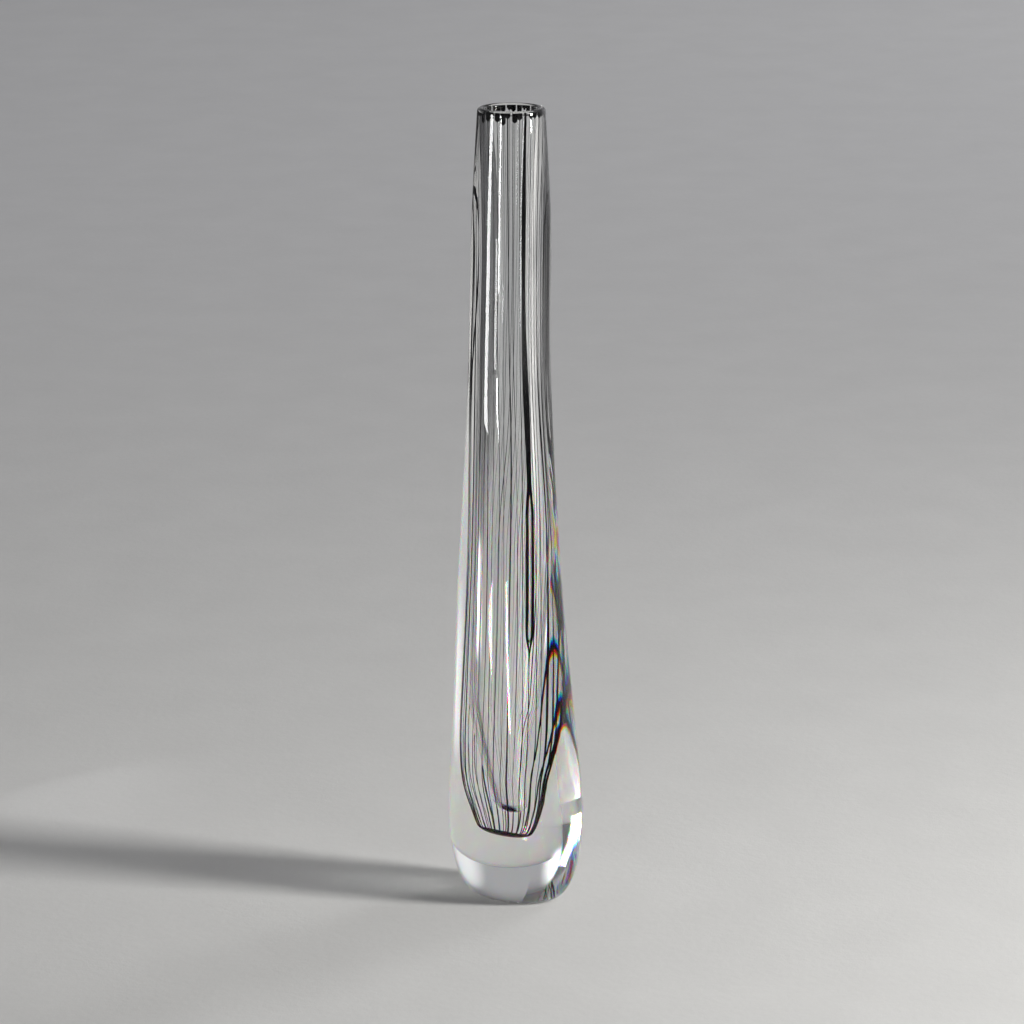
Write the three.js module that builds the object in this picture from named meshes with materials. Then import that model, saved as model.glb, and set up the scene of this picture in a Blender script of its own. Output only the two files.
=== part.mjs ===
// Tall hand blown vase in cased glass: a clear inner bubble, fine black glass threads laid along it,
// a black pool where the threads gather under it, and a thick clear outer casing with a heavy base.
// Millimetres, +Z up. The origin is the middle of the flat foot, under the centre of the belly.

import * as THREE from "three";

// ---------------------------------------------------------------------------------- driving sizes

const HEIGHT = 350;
const FOOT_RADIUS = 17;
const BELLY_RADIUS = 29.85;
const BELLY_HEIGHT = 36;

// Solid glass between the foot and the black pool.
const BASE_THICKNESS = 27.5;

// The air space inside: its radius at each level, and the small round tip that it tapers to.
const CAVITY_RADIUS = { hip: 10.3, waist: 11.05, neck: 9.5, collar: 9.2, mouth: 11.6 };
const CAVITY_TIP_RADIUS = 4.8;
const CAVITY_TAPER = 46;
const CAVITY_TIP_LEAN = 3;

// The bubble's glass: its wall at each level, and its floor under the tip of the air space.
const BUBBLE_WALL = { hip: 2.8, waist: 1.2, neck: 1.0, collar: 0.9, mouth: 0.75 };
const BUBBLE_FLOOR = 9;
const BUBBLE_END_LENGTH = 46;

// The casing's glass outside the threads at each level.
const CASING_WALL = { hip: 12.7, waist: 8.25, neck: 6.2, collar: 5.75, mouth: 1.05 };
const LIP_DEPTH = 2;

// Black threads and the pool that they run into.
const THREAD_COUNT = 34;
const THREAD_DIAMETER = 0.5;
const HEAVY_THREAD_DIAMETER = 0.9;
const HEAVY_THREAD = 30;
const THREAD_SWAY = 0.3;
const THREAD_TWIST = THREE.MathUtils.degToRad(10.6);
const POOL_RADIUS = 6.6;
const POOL_THICKNESS = 1;

// Clear space between pieces that touch in the real glass.
const CLEARANCE = 0.3;

// The body's section is out of round: the ratio of its narrow way to its wide way, and the direction
// of the wide way from +X.
const OUT_OF_ROUND = 0.78;
const WIDE_WAY = THREE.MathUtils.degToRad(-52);

// How the bubble sits in the casing: its axis lies to one side of the belly, drifts back a little in
// the neck and at its lower end, and its round end slumps to a slope.
const BUBBLE_OFFSET = { x: -2.6, y: 4.7 };
const NECK_DRIFT = 0.8;
const END_DRIFT = 2;
const END_DRIFT_REACH = 26;
const END_SLOPE = { x: 0.2, y: 0.16 };

// How far up the body each level lies, from the top of the bubble's round end to the mouth.
const LEVEL = { hip: 0, waist: 0.29, neck: 0.57, collar: 0.82, mouth: 1 };

// Facets round a piece, and round a thread.
const SIDES = 28;
const THREAD_SIDES = 5;

// ------------------------------------------------------------------------------- levels and curves

const LEVEL_NAMES = Object.keys(LEVEL);
const THREAD_GAP = HEAVY_THREAD_DIAMETER + 2 * CLEARANCE;
const POOL_GAP = POOL_THICKNESS + 2 * CLEARANCE;
const BUBBLE_BOTTOM = BASE_THICKNESS + POOL_GAP;
const HIP_HEIGHT = BUBBLE_BOTTOM + BUBBLE_END_LENGTH;
const CAVITY_BOTTOM = BUBBLE_BOTTOM + BUBBLE_FLOOR;
const LIP_UNDERSIDE = HEIGHT - LIP_DEPTH;
const BUBBLE_TOP = LIP_UNDERSIDE - CLEARANCE;

const smooth = (value, low, high) => THREE.MathUtils.smoothstep(value, low, high);

function levelHeight(name) {
  return HIP_HEIGHT + LEVEL[name] * (LIP_UNDERSIDE - HIP_HEIGHT);
}

// A smooth curve of radius against height through one radius for each level.
function levelCurve(radiusAt) {
  const points = LEVEL_NAMES.map((name) => new THREE.Vector2(radiusAt(name), levelHeight(name)));
  return new THREE.SplineCurve(points);
}

const bubbleRadius = (name) => CAVITY_RADIUS[name] + BUBBLE_WALL[name];
const outerRadius = (name) => bubbleRadius(name) + THREAD_GAP + CASING_WALL[name];

// The rounded lower end of a tube, from the axis out to its radius.
function roundEnd(radius, bottom, top, steps) {
  const points = [];
  for (let i = 0; i <= steps; i++) {
    const angle = (i / steps) * (Math.PI / 2);
    const height = top - (top - bottom) * Math.cos(angle);
    points.push(new THREE.Vector2(radius * Math.sin(angle), height));
  }
  return points;
}

// --------------------------------------------------------------------------------- bubble's outside

const TUBE_STEPS = 13;

// The bubble's end, flat under the pool and tapered above it: shares of its radius and its length.
const BUBBLE_END = [
  [0, 0],
  [0.3, 0.004],
  [0.5, 0.02],
  [0.58, 0.06],
  [0.67, 0.15],
  [0.82, 0.335],
  [0.925, 0.565],
  [0.98, 0.78],
  [1, 1],
];

function bubbleOutline() {
  const radius = bubbleRadius("hip");
  const end = BUBBLE_END.map(([across, up]) => {
    return new THREE.Vector2(radius * across, BUBBLE_BOTTOM + BUBBLE_END_LENGTH * up);
  });
  const tube = levelCurve(bubbleRadius).getPoints(TUBE_STEPS);
  tube[tube.length - 1].y = BUBBLE_TOP;
  return [...end, ...tube.slice(1)];
}

// Each point of an outline with the direction that faces out of it.
function withNormals(outline) {
  return outline.map((point, i) => {
    const before = outline[Math.max(i - 1, 0)];
    const after = outline[Math.min(i + 1, outline.length - 1)];
    const along = after.clone().sub(before).normalize();
    const normal = new THREE.Vector2(along.y, -along.x);
    if (i === 0) normal.set(0, -1);
    return { point, normal };
  });
}

const BUBBLE = withNormals(bubbleOutline());

function offset({ point, normal }, distance) {
  return point.clone().addScaledVector(normal, distance);
}

// The room left between bubble and casing: deeper at the pool, then just enough for a thread.
function gapAt({ point }) {
  const fromPool = smooth(point.x, POOL_RADIUS + CLEARANCE, POOL_RADIUS + 3);
  return THREE.MathUtils.lerp(POOL_GAP, THREAD_GAP, point.y < HIP_HEIGHT ? fromPool : 1);
}

// ------------------------------------------------------------------------ lean, drift and slump

function bubbleAxis(height) {
  const inNeck = smooth(height, levelHeight("neck"), levelHeight("collar"));
  return new THREE.Vector3(BUBBLE_OFFSET.x + NECK_DRIFT * inNeck, BUBBLE_OFFSET.y, 0);
}

function casingAxis(height) {
  const inBelly = 1 - smooth(height, BELLY_HEIGHT, levelHeight("waist"));
  const offset = new THREE.Vector3(BUBBLE_OFFSET.x, BUBBLE_OFFSET.y, 0);
  return bubbleAxis(height).addScaledVector(offset, -inBelly);
}

// Moves a point of the bubble, its threads or its pool to where it lies in the finished glass.
function slump(point) {
  const low = 1 - smooth(point.z, BUBBLE_BOTTOM, HIP_HEIGHT);
  const drop = END_SLOPE.x * point.x + END_SLOPE.y * point.y;
  const tip = 1 - smooth(point.z, BUBBLE_BOTTOM, BUBBLE_BOTTOM + END_DRIFT_REACH);
  const drift = new THREE.Vector3(END_DRIFT * tip, 0, -drop * low);
  return point.add(bubbleAxis(point.z)).add(drift);
}

// Makes a round section oval, with the same width along X, up to the neck, which stays round.
function squash(point) {
  const inBody = 1 - smooth(point.z, levelHeight("waist"), levelHeight("neck"));
  const ratio = THREE.MathUtils.lerp(1, OUT_OF_ROUND, inBody);
  const along = new THREE.Vector3(Math.cos(WIDE_WAY), Math.sin(WIDE_WAY), 0);
  const across = new THREE.Vector3(-along.y, along.x, 0);
  const swell = 1 / Math.hypot(along.x, ratio * along.y);
  const wide = point.dot(along) * swell;
  const narrow = point.dot(across) * swell * ratio;
  return point.setX(0).setY(0).addScaledVector(along, wide).addScaledVector(across, narrow);
}

// Moves a point of the casing's outside to where it lies in the finished glass.
function centreCasing(point) {
  return squash(point).add(casingAxis(point.z));
}

// ------------------------------------------------------------------------------------ solid makers

// Turns an outline of [radius, height] about +Z, then moves each ring's points by that ring's rule.
function turned(outline, ruleFor) {
  const geometry = new THREE.LatheGeometry(outline, SIDES);
  geometry.rotateX(Math.PI / 2);
  const position = geometry.getAttribute("position");
  const point = new THREE.Vector3();
  for (let i = 0; i < position.count; i++) {
    point.fromBufferAttribute(position, i);
    ruleFor(i % outline.length)(point);
    position.setXYZ(i, point.x, point.y, point.z);
  }
  geometry.deleteAttribute("uv");
  geometry.computeVertexNormals();
  return geometry;
}

function vector(radius, height) {
  return new THREE.Vector2(radius, height);
}

// ---------------------------------------------------------------------------------- outer casing

const FOOT_STEPS = 8;
const SHOULDER_STEPS = 5;
const LIP_STEPS = 6;

// The smooth rise from the widest part of the belly, where the wall is upright, into the body above.
function shoulder(belly, hip, waist) {
  const reach = (hip.y - belly.y) / 3;
  const slope = (waist.x - hip.x) / (waist.y - hip.y);
  const leaving = vector(belly.x, belly.y + reach);
  const arriving = vector(hip.x - slope * reach, hip.y - reach);
  const rise = new THREE.CubicBezierCurve(belly, leaving, arriving, hip).getPoints(SHOULDER_STEPS);
  return rise.slice(1, -1);
}

function casingOutside() {
  const foot = [];
  for (let i = 0; i <= FOOT_STEPS; i++) {
    const angle = (i / FOOT_STEPS) * (Math.PI / 2);
    const radius = FOOT_RADIUS + (BELLY_RADIUS - FOOT_RADIUS) * Math.sin(angle);
    foot.push(vector(radius, BELLY_HEIGHT * (1 - Math.cos(angle))));
  }
  const lipRadius = (outerRadius("mouth") - CAVITY_RADIUS.mouth) / 2;
  const levels = LEVEL_NAMES.map((name) => vector(outerRadius(name), levelHeight(name)));
  levels[levels.length - 1].y = HEIGHT - lipRadius;
  const body = new THREE.SplineCurve(levels).getPoints(TUBE_STEPS);
  const lip = [];
  for (let i = 1; i <= LIP_STEPS; i++) {
    const angle = (i / LIP_STEPS) * Math.PI;
    const radius = CAVITY_RADIUS.mouth + lipRadius * (1 + Math.cos(angle));
    lip.push(vector(radius, HEIGHT - lipRadius + lipRadius * Math.sin(angle)));
  }
  return [vector(0, 0), ...foot, ...shoulder(foot[FOOT_STEPS], levels[0], levels[1]), ...body, ...lip];
}

function outerCasing() {
  const outside = casingOutside();
  const bore = BUBBLE.map((station) => offset(station, gapAt(station))).reverse();
  bore[0].y = LIP_UNDERSIDE;
  bore[bore.length - 1].x = 0;
  const underLip = vector(CAVITY_RADIUS.mouth, LIP_UNDERSIDE);
  const outline = [...outside, underLip, ...bore];
  return turned(outline, (ring) => (ring <= outside.length ? centreCasing : slump));
}

// ---------------------------------------------------------------------------------- inner bubble

const TIP_STEPS = 4;
const TAPER_STEPS = 5;

function cavityOutline() {
  const tip = roundEnd(CAVITY_TIP_RADIUS, CAVITY_BOTTOM, CAVITY_BOTTOM + CAVITY_TIP_RADIUS, TIP_STEPS);
  const shoulder = vector(CAVITY_TIP_RADIUS, CAVITY_BOTTOM + CAVITY_TIP_RADIUS);
  const taperTop = vector(CAVITY_RADIUS.hip, CAVITY_BOTTOM + CAVITY_TAPER);
  const middle = vector(shoulder.x * 1.4, THREE.MathUtils.lerp(shoulder.y, taperTop.y, 0.45));
  const taper = new THREE.QuadraticBezierCurve(shoulder, middle, taperTop).getPoints(TAPER_STEPS);
  const above = levelCurve((name) => CAVITY_RADIUS[name]).getPoints(TUBE_STEPS);
  above[above.length - 1].y = BUBBLE_TOP;
  return [...tip, ...taper.slice(1), ...above.filter((point) => point.y > taperTop.y + 4)];
}

// Moves a point of the air space, whose tip leans to one side inside the bubble, to where it lies.
function placeCavity(point) {
  const low = 1 - smooth(point.z, CAVITY_BOTTOM, CAVITY_BOTTOM + CAVITY_TAPER);
  return slump(point.setX(point.x + CAVITY_TIP_LEAN * low));
}

function innerBubble() {
  const outside = BUBBLE.map((station) => station.point);
  const outline = [...outside, ...cavityOutline().reverse()];
  return turned(outline, (ring) => (ring < outside.length ? slump : placeCavity));
}

// ------------------------------------------------------------------------------ threads and pool

// One thread's middle line: down the bubble's outside at its own place round it, with a slow sway
// and the twist that all the threads share in the neck.
class ThreadPath extends THREE.Curve {
  constructor(number) {
    super();
    this.turn = ((number - 1) / THREAD_COUNT) * 2 * Math.PI;
    this.phase = number * 2.4;
    this.stations = BUBBLE.filter(({ point }) => point.x > POOL_RADIUS + CLEARANCE);
  }

  // Even steps in t, so that the steps are short where the bubble's end curves.
  getUtoTmapping(u) {
    return u;
  }

  getPoint(t, target = new THREE.Vector3()) {
    const place = t * (this.stations.length - 1);
    const lower = this.stations[Math.floor(place)];
    const upper = this.stations[Math.ceil(place)];
    const depth = THREAD_GAP / 2;
    const middle = offset(lower, depth).lerp(offset(upper, depth), place % 1);
    const sway = (THREAD_SWAY / middle.x) * Math.sin(middle.y / 37 + this.phase);
    const twist = THREAD_TWIST * smooth(middle.y, levelHeight("waist"), levelHeight("collar"));
    const angle = this.turn - twist + sway * smooth(middle.y, HIP_HEIGHT / 2, HIP_HEIGHT);
    target.set(middle.x * Math.cos(angle), middle.x * Math.sin(angle), middle.y);
    return slump(target);
  }
}

function thread(number) {
  const diameter = number === HEAVY_THREAD ? HEAVY_THREAD_DIAMETER : THREAD_DIAMETER;
  const section = new THREE.Shape();
  for (let i = 0; i < THREAD_SIDES; i++) {
    const angle = (i / THREAD_SIDES) * 2 * Math.PI;
    const corner = [(diameter / 2) * Math.cos(angle), (diameter / 2) * Math.sin(angle)];
    if (i === 0) section.moveTo(...corner);
    else section.lineTo(...corner);
  }
  section.closePath();
  const path = new ThreadPath(number);
  return new THREE.ExtrudeGeometry(section, {
    extrudePath: path,
    steps: path.stations.length - 1,
    bevelEnabled: false,
  });
}

function threadPool() {
  const under = BUBBLE.filter(({ point }) => point.x <= POOL_RADIUS);
  const bottom = under.map((station) => offset(station, CLEARANCE + POOL_THICKNESS));
  const top = under.map((station) => offset(station, CLEARANCE)).reverse();
  bottom[0].x = 0;
  top[top.length - 1].x = 0;
  return turned([...bottom, ...top], () => slump);
}

// ------------------------------------------------------------------------------------- assembly

const clearGlass = { color: 0xeef2f1, roughness: 0.03, metalness: 0 };
const blackGlass = { color: 0x08080a, roughness: 0.08, metalness: 0 };

const vase = new THREE.Group();
vase.name = "vase";

function addPiece(name, geometry, finish) {
  const mesh = new THREE.Mesh(geometry, new THREE.MeshStandardMaterial(finish));
  mesh.name = name;
  vase.add(mesh);
}

addPiece("outer_casing", outerCasing(), clearGlass);
addPiece("inner_bubble", innerBubble(), clearGlass);
addPiece("thread_pool", threadPool(), blackGlass);
for (let number = 1; number <= THREAD_COUNT; number++) {
  addPiece("thread_" + String(number).padStart(2, "0"), thread(number), blackGlass);
}

export default vase;
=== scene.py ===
"""Tall cased glass vase: the fine surfaces, finishes and studio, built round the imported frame.

The vase is a clear bubble with black glass threads laid along it, a black pool where the threads
gather under it, and a thick clear casing over everything. Sizes are in metres, +Z up, and the
origin is the middle of the flat foot.
"""

import logging
import math
import random
from collections.abc import Callable, Sequence
from dataclasses import dataclass
from enum import Enum

import bpy
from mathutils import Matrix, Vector


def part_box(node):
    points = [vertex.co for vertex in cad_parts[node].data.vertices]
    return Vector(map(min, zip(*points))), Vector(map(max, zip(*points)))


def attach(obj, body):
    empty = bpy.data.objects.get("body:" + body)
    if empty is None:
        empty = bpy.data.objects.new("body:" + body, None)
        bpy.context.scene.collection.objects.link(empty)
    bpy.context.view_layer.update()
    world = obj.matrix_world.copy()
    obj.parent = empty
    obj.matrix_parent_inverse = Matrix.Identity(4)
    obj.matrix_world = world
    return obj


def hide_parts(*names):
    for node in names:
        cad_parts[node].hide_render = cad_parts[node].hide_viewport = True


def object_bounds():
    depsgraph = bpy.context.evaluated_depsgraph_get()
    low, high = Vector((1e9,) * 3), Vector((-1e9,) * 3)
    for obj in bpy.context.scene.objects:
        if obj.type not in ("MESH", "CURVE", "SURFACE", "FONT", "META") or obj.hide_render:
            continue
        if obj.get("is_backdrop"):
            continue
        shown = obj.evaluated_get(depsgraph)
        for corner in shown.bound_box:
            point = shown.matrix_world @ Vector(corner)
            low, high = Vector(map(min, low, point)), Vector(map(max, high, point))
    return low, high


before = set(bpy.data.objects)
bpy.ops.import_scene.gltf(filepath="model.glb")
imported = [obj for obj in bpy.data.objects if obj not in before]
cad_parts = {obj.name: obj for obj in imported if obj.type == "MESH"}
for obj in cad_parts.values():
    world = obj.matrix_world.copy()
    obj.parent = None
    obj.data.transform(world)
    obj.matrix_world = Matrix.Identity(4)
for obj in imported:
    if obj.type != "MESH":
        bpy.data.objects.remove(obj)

CAD_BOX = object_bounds()
MM = 0.001
BODY = "root"

log = logging.getLogger("cased_vase")

Point = tuple[float, float]
Place = Callable[[Vector], Vector]
Rgb = tuple[float, float, float]
Triple = tuple[float, float, float]


# ------------------------------------------------------------------------------- shader expressions


class Value:
    """One number socket of a shader tree, on which arithmetic adds Math nodes."""

    def __init__(self, tree: "ShaderTree", socket: bpy.types.NodeSocket) -> None:
        """Wrap a socket.

        Args:
            tree: The tree that the socket belongs to.
            socket: The output socket that holds the number.
        """
        self.tree = tree
        self.socket = socket

    def _math(self, operation: str, first: "Value | float", second: "Value | float") -> "Value":
        """Add one Math node.

        Args:
            operation: The node's operation.
            first: The first operand.
            second: The second operand.

        Returns:
            The node's result.
        """
        made = self.tree.node("ShaderNodeMath", {"operation": operation}, {0: first, 1: second})
        return Value(self.tree, made.outputs[0])

    def __add__(self, other: "Value | float") -> "Value":
        """Return self + other."""
        return self._math("ADD", self, other)

    def __radd__(self, other: float) -> "Value":
        """Return other + self."""
        return self._math("ADD", other, self)

    def __sub__(self, other: "Value | float") -> "Value":
        """Return self - other."""
        return self._math("SUBTRACT", self, other)

    def __rsub__(self, other: float) -> "Value":
        """Return other - self."""
        return self._math("SUBTRACT", other, self)

    def __mul__(self, other: "Value | float") -> "Value":
        """Return self * other."""
        return self._math("MULTIPLY", self, other)

    def __rmul__(self, other: float) -> "Value":
        """Return other * self."""
        return self._math("MULTIPLY", other, self)

    def __pow__(self, other: "Value | float") -> "Value":
        """Return self ** other."""
        return self._math("POWER", self, other)

    def ramp(self, low: float, high: float, at_low: float = 0.0, at_high: float = 1.0) -> "Value":
        """Blend smoothly from one number to another as this value rises.

        Args:
            low: Where the blend starts.
            high: Where it ends.
            at_low: The number up to low.
            at_high: The number from high on.

        Returns:
            The blended number.
        """
        settings = {"interpolation_type": "SMOOTHSTEP"}
        sockets = {"Value": self, "From Min": low, "From Max": high, "To Min": at_low, "To Max": at_high}
        made = self.tree.node("ShaderNodeMapRange", settings, sockets)
        return Value(self.tree, made.outputs["Result"])


class ShaderTree:
    """The node tree of one material or of the world."""

    def __init__(self, owner: bpy.types.ID) -> None:
        """Clear the owner's tree, ready for new nodes.

        Args:
            owner: A material or a world.
        """
        owner.use_nodes = True
        self.tree = owner.node_tree
        self.tree.nodes.clear()

    def node(
        self,
        kind: str,
        settings: dict[str, object] | None = None,
        sockets: dict[str | int, object] | None = None,
    ) -> bpy.types.Node:
        """Add one node.

        Args:
            kind: The node's type.
            settings: Properties of the node, set before its sockets.
            sockets: A value, a socket or a Value for each input, by name or number.

        Returns:
            The new node.
        """
        made = self.tree.nodes.new(kind)
        for key, setting in (settings or {}).items():
            setattr(made, key, setting)
        for key, given in (sockets or {}).items():
            source = given.socket if isinstance(given, Value) else given
            if isinstance(source, bpy.types.NodeSocket):
                self.tree.links.new(source, made.inputs[key])
            else:
                made.inputs[key].default_value = source
        return made

    def position(self) -> bpy.types.NodeSocket:
        """Return the shaded point's place in the vase's own frame."""
        return self.node("ShaderNodeTexCoord").outputs["Object"]

    def axis(self, name: str) -> Value:
        """Return one coordinate, X, Y or Z, of the shaded point."""
        split = self.node("ShaderNodeSeparateXYZ", {}, {"Vector": self.position()})
        return Value(self, split.outputs[name])

    def noise(self, stretch: Triple, detail: float = 2.0, roughness: float = 0.5) -> Value:
        """Add noise, which varies from 0 to 1 over the surface.

        Args:
            stretch: How many features there are per metre along X, Y and Z.
            detail: How many finer layers are added.
            roughness: How strong the finer layers are.

        Returns:
            The noise's value.
        """
        scaled = self.node(
            "ShaderNodeVectorMath", {"operation": "MULTIPLY"}, {0: self.position(), 1: stretch}
        )
        sockets = {"Vector": scaled.outputs[0], "Scale": 1.0, "Detail": detail, "Roughness": roughness}
        return Value(self, self.node("ShaderNodeTexNoise", {}, sockets).outputs["Fac"])

    def mix(self, factor: Value, low: "Rgb | bpy.types.NodeSocket", high: Rgb) -> bpy.types.NodeSocket:
        """Blend two colours.

        Args:
            factor: The share of the second colour.
            low: The first colour, or the socket that gives it.
            high: The second colour.

        Returns:
            The blended colour.
        """
        start = low if isinstance(low, bpy.types.NodeSocket) else (*low, 1.0)
        sockets = {"Factor": factor, 6: start, 7: (*high, 1.0)}
        return self.node("ShaderNodeMix", {"data_type": "RGBA"}, sockets).outputs[2]

    def bump(self, height: Value, depth: float) -> bpy.types.NodeSocket:
        """Return a normal for a surface that rises by depth where the height is 1."""
        sockets = {"Height": height, "Distance": depth, "Strength": 1.0}
        return self.node("ShaderNodeBump", {}, sockets).outputs["Normal"]

    def finish(self, shader: bpy.types.Node, output: str = "ShaderNodeOutputMaterial") -> None:
        """Send a shader to the output."""
        self.node(output, {}, {"Surface": shader.outputs[0]})


# ---------------------------------------------------------------------------------------- finishes


@dataclass(frozen=True)
class ClearGlass:
    """Clear blown glass: a fire-polished skin with faint waves, and fine scuffs under the foot.

    Attributes:
        name: The material's name.
        ior: How strongly the glass bends light.
        spread: How much more strongly it bends blue light than green, and green than red.
        split_fades: Heights over which the spread of colours fades out, up the thin neck.
        wave: Depth of the skin's slow waves.
        streak: Depth of its finer streaks, as a share of that.
        foot: Heights over which the foot's wear fades out.
        scuffed: Whether that wear shows.
    """

    name: str = "clear_crystal"
    ior: float = 1.52
    spread: float = 0.005
    split_fades: Point = (0.16, 0.21)
    wave: float = 0.03 * MM
    streak: float = 0.25
    foot: Point = (0.4 * MM, 3.0 * MM)
    scuffed: bool = True

    def material(self) -> bpy.types.Material:
        """Make the material.

        Returns:
            The finished material.
        """
        made = bpy.data.materials.new(self.name)
        tree = ShaderTree(made)
        waves = tree.noise((70.0, 70.0, 14.0), 1.0)
        streaks = tree.noise((420.0, 420.0, 9.0), 1.0)
        skin = tree.bump(waves + streaks * self.streak, self.wave)
        sockets: dict[str | int, object] = {
            "Base Color": (0.985, 0.99, 0.988, 1.0),
            "Transmission Weight": 1.0,
            "IOR": self.ior,
            "Normal": skin,
        }
        if not self.scuffed:
            sockets["Roughness"] = 0.0
            tree.finish(tree.node("ShaderNodeBsdfPrincipled", {}, sockets))
            return made
        near_foot = 1.0 - tree.axis("Z").ramp(*self.foot)
        scratches = tree.noise((2600.0, 300.0, 300.0), 3.0).ramp(0.5, 0.62)
        sockets["Roughness"] = near_foot * (0.1 + scratches * 0.3)
        plain = tree.node("ShaderNodeBsdfPrincipled", {}, sockets)
        first = Value(tree, tree.node("ShaderNodeLightPath").outputs["Is Camera Ray"])
        first = first * (1.0 - tree.axis("Z").ramp(*self.split_fades))
        split = self._split(tree, sockets["Roughness"], skin)
        tree.finish(tree.node("ShaderNodeMixShader", {}, {0: first, 1: plain.outputs[0], 2: split}))
        return made

    def _split(
        self, tree: ShaderTree, roughness: Value, skin: bpy.types.NodeSocket
    ) -> bpy.types.NodeSocket:
        """Bend each of the three colours by its own amount.

        Args:
            tree: The material's tree.
            roughness: The surface's roughness.
            skin: The surface's normal.

        Returns:
            The shader that shares the light out equally among the colours.
        """
        made = None
        bands = "RGB"
        for share, (colour, step) in enumerate(zip(bands, (-1, 0, 1)), start=1):
            tint = tuple(float(len(bands)) if band == colour else 0.0 for band in bands)
            sockets = {
                "Color": (*tint, 1.0),
                "Roughness": roughness,
                "IOR": self.ior + step * self.spread,
                "Normal": skin,
            }
            bent = tree.node("ShaderNodeBsdfGlass", {}, sockets).outputs[0]
            if made is None:
                made = bent
            else:
                made = tree.node("ShaderNodeMixShader", {}, {0: 1 / share, 1: made, 2: bent}).outputs[0]
        return made


@dataclass(frozen=True)
class FusedBoundary:
    """The boundary where two gathers have fused, which can't be seen."""

    name: str = "fused_boundary"

    def material(self) -> bpy.types.Material:
        """Make the material.

        Returns:
            The finished material.
        """
        made = bpy.data.materials.new(self.name)
        tree = ShaderTree(made)
        tree.finish(tree.node("ShaderNodeBsdfTransparent", {}, {"Color": (1.0, 1.0, 1.0, 1.0)}))
        return made


@dataclass(frozen=True)
class BlackGlass:
    """Black glass drawn out in threads: nearly opaque, with faint smoky streaks along its length.

    Attributes:
        name: The material's name.
        deep: Its colour.
        smoky: The colour of its streaks.
        drawn: Depth of the fine marks left by drawing it out.
    """

    name: str = "black_glass"
    deep: Rgb = (0.002, 0.002, 0.003)
    smoky: Rgb = (0.012, 0.011, 0.012)
    drawn: float = 0.02 * MM

    def material(self) -> bpy.types.Material:
        """Make the material.

        Returns:
            The finished material.
        """
        made = bpy.data.materials.new(self.name)
        tree = ShaderTree(made)
        streaks = tree.noise((900.0, 900.0, 30.0), 3.0)
        colour = tree.mix(streaks.ramp(0.35, 0.75), self.deep, self.smoky)
        sockets = {
            "Base Color": colour,
            "Roughness": 0.2 + streaks * 0.15,
            "IOR": 1.04,
            "Normal": tree.bump(tree.noise((1500.0, 1500.0, 120.0)), self.drawn),
        }
        tree.finish(tree.node("ShaderNodeBsdfPrincipled", {}, sockets))
        return made


@dataclass(frozen=True)
class StudioFloor:
    """Pale matt floor with a faint stone-like mottle, and painted light and shade by depth.

    Attributes:
        near: Its colour in front of the vase.
        far: Its colour behind the vase, lighter as painted light.
        beyond: Its colour in the distance, darker as painted shade.
        to_far: Depths between which near turns to far.
        to_beyond: Depths between which far turns to beyond.
        tone: How light the whole floor is, as a share.
        rough: Depth of its fine unevenness.
    """

    near: Rgb = (0.72, 0.72, 0.71)
    far: Rgb = (0.84, 0.84, 0.85)
    beyond: Rgb = (0.55, 0.55, 0.56)
    to_far: Point = (0.0, 2.2)
    to_beyond: Point = (2.8, 4.5)
    tone: float = 0.99
    rough: float = 0.3 * MM

    def material(self) -> bpy.types.Material:
        """Make the material.

        Returns:
            The finished material.
        """
        made = bpy.data.materials.new("studio_floor")
        tree = ShaderTree(made)
        mottle = tree.noise((22.0, 16.0, 1.0), 6.0, 0.6)
        grain = tree.noise((240.0, 180.0, 1.0), 4.0, 0.7)
        # Painted light and shade by depth: lighter behind the vase, darker in the distance.
        depth = tree.axis("Y").ramp(*self.to_far)
        beyond = tree.axis("Y").ramp(*self.to_beyond)
        pale = tree.mix(beyond, tree.mix(depth, self.near, self.far), self.beyond)
        shade = (0.93 + mottle * 0.1 + grain * 0.05) * self.tone
        tint = tree.node("ShaderNodeCombineColor", {}, {0: shade, 1: shade, 2: shade})
        sockets = {"Factor": 1.0, 6: pale, 7: tint.outputs[0]}
        colour = tree.node("ShaderNodeMix", {"data_type": "RGBA", "blend_type": "MULTIPLY"}, sockets)
        sockets = {
            "Base Color": colour.outputs[2],
            "Roughness": 0.6 + mottle * 0.2,
            "Specular IOR Level": 0.3,
            "Normal": tree.bump(mottle * 0.6 + grain * 0.4, self.rough),
        }
        tree.finish(tree.node("ShaderNodeBsdfPrincipled", {}, sockets))
        return made


@dataclass(frozen=True)
class PaintedShadeFelt:
    """Dark felt of painted shade, which only the glass shows as the room's dark side, thinned out towards
    its lower edge.

    Attributes:
        fades: Heights between which it goes from clear to full.
        colour: Its colour.
    """

    fades: Point
    colour: Rgb = (0.06, 0.06, 0.065)

    def material(self) -> bpy.types.Material:
        """Make the material.

        Returns:
            The finished material.
        """
        made = bpy.data.materials.new("painted_shade_felt")
        tree = ShaderTree(made)
        shade_felt = tree.noise((900.0, 900.0, 900.0), 3.0)
        pale = tuple(channel * 1.3 for channel in self.colour)
        sockets = {"Base Color": tree.mix(shade_felt, self.colour, pale), "Roughness": 0.9}
        dark = tree.node("ShaderNodeBsdfPrincipled", {}, sockets).outputs[0]
        clear = tree.node("ShaderNodeBsdfTransparent").outputs[0]
        share = tree.axis("Z").ramp(*self.fades)
        tree.finish(tree.node("ShaderNodeMixShader", {}, {0: share, 1: clear, 2: dark}))
        return made


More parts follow.
